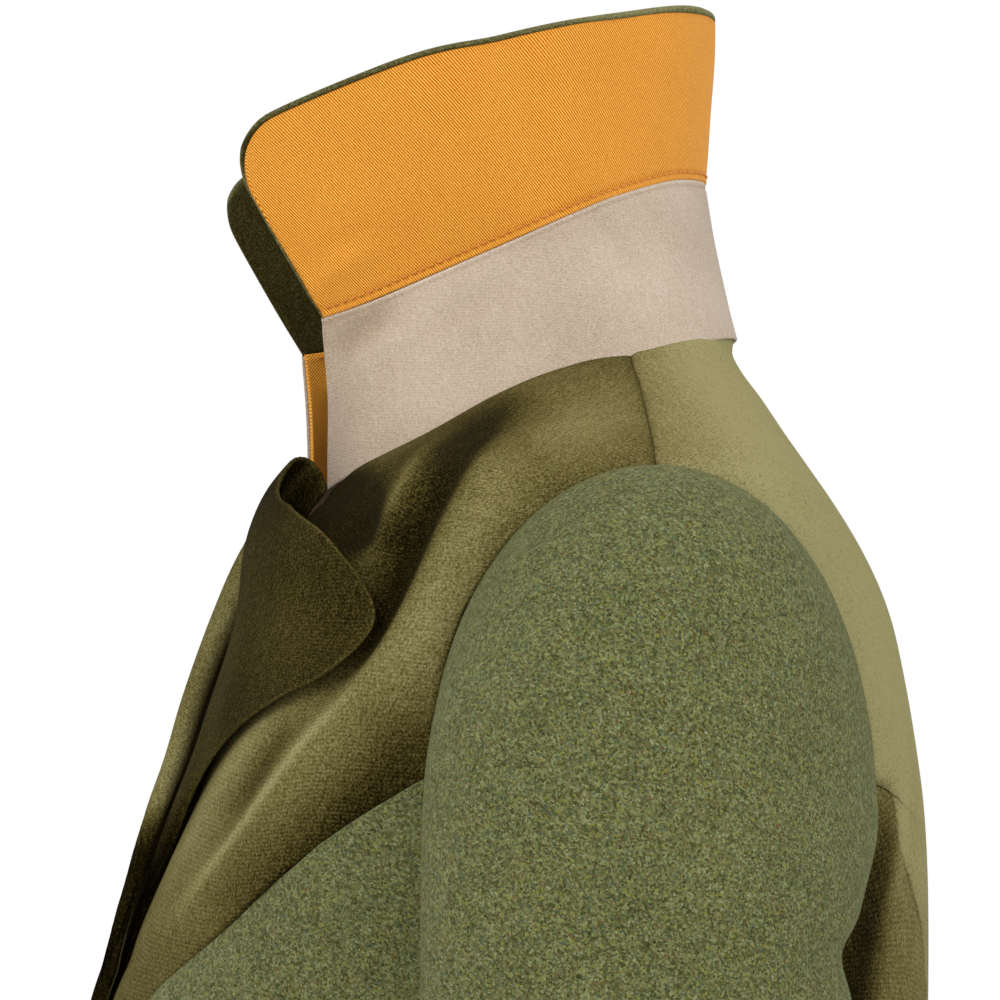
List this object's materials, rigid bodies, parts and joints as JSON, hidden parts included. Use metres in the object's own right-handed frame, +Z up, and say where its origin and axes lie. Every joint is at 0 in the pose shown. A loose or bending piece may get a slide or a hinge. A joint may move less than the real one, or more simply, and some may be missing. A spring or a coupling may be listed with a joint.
{
  "type": "frock coat, worn shape, on its wearer's neck and shoulders",
  "caption": "Hollow worn-shape knee-length frock coat with a raised two-tone collar, wide rounded velvet lapels, velvet yoke and back, tweed sleeves and fronts.",
  "frame": {"origin": "midway between the two side neck points, where the collar meets the shoulder seams and the wearer's neck and shoulders carry the coat", "axes": "+Z up, +X to the wearer's left, the wearer faces -Y"},
  "size_m": [0.6104, 0.478, 1.1079],
  "materials": {
    "body_velvet": "olive cotton velvet, short pile with a pale sheen at grazing angles",
    "collar_velvet": "green velvet",
    "stand_velvet": "beige velveteen, matt",
    "collar_twill": "amber cotton twill, matt, fine diagonal ribs",
    "tweed": "green milled wool tweed, matt, flecked"
  },
  "bodies": {
    "root": {"front_upper_left": "body_velvet", "lapel_left": "body_velvet", "front_lower_left": "tweed", "side_back_left": "body_velvet", "back_left": "body_velvet", "skirt_front_left": "tweed", "skirt_back_left": "body_velvet", "sleeve_upper_left": "tweed", "sleeve_under_left": "tweed", "front_upper_right": "body_velvet", "lapel_right": "body_velvet", "front_lower_right": "tweed", "side_back_right": "body_velvet", "back_right": "body_velvet", "skirt_front_right": "tweed", "skirt_back_right": "body_velvet", "sleeve_upper_right": "tweed", "sleeve_under_right": "tweed", "collar_stand_outer": "stand_velvet", "collar_stand_inner": "collar_twill", "collar_fall_outer": "collar_twill", "collar_fall_inner": "collar_velvet", "front_button_1": "tweed", "front_button_2": "tweed", "front_button_3": "tweed"}
  },
  "joints": []
}
